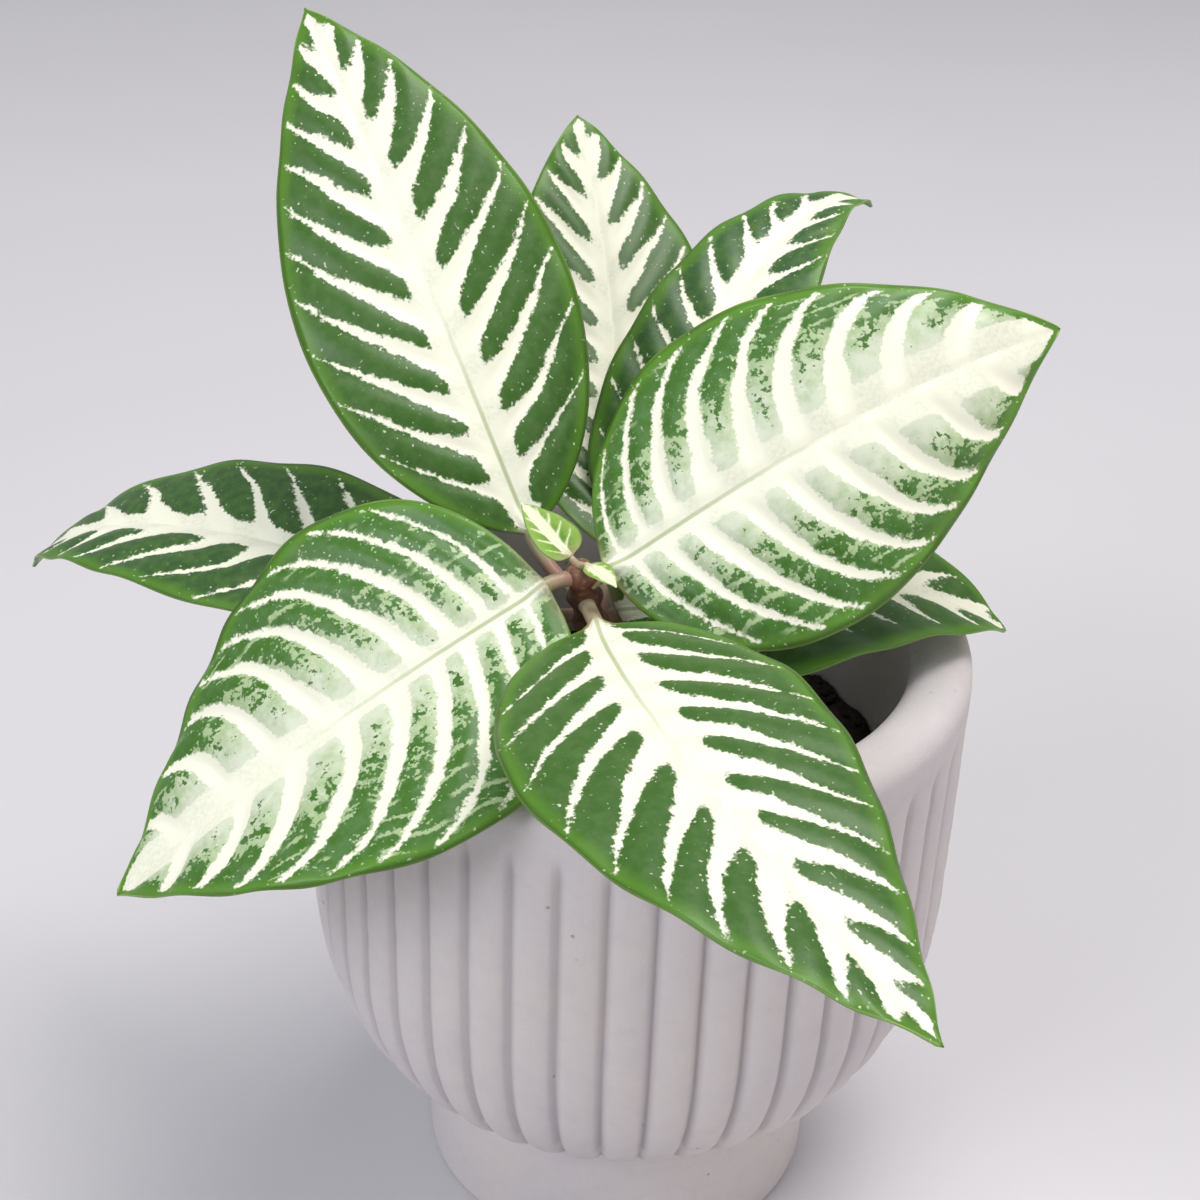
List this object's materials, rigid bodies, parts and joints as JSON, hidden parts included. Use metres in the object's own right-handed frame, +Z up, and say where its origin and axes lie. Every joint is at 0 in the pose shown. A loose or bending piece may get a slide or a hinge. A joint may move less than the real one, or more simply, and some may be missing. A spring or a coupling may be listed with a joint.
{
  "type": "potted aphelandra",
  "caption": "Zebra plant with dark green, white-veined leaves in opposite pairs on one stem, growing in a footed round concrete pot with a reeded outside.",
  "frame": {"origin": "centre of the pot's flat underside, on the surface it stands on", "axes": "+Z up along the pot's axis; -Y towards the side that the front leaf points to; +X to the right seen from that side"},
  "size_m": [0.2142, 0.2435, 0.238],
  "materials": {
    "concrete": "matte",
    "potting_mix": "matte",
    "roots": "matte",
    "stem": "satin",
    "leaf": "satin",
    "young_leaf": "satin"
  },
  "bodies": {
    "root": {"pot": "concrete", "soil": "potting_mix", "root_ball": "roots", "stem": "stem", "upper_leaf_right": "leaf", "upper_leaf_left": "leaf", "middle_leaf_back": "leaf", "middle_leaf_front": "leaf", "lower_leaf_left": "leaf", "lower_leaf_right": "leaf", "bottom_leaf_back": "leaf", "bottom_leaf_right": "leaf", "young_leaf_back": "young_leaf", "young_leaf_front": "young_leaf"}
  },
  "joints": []
}
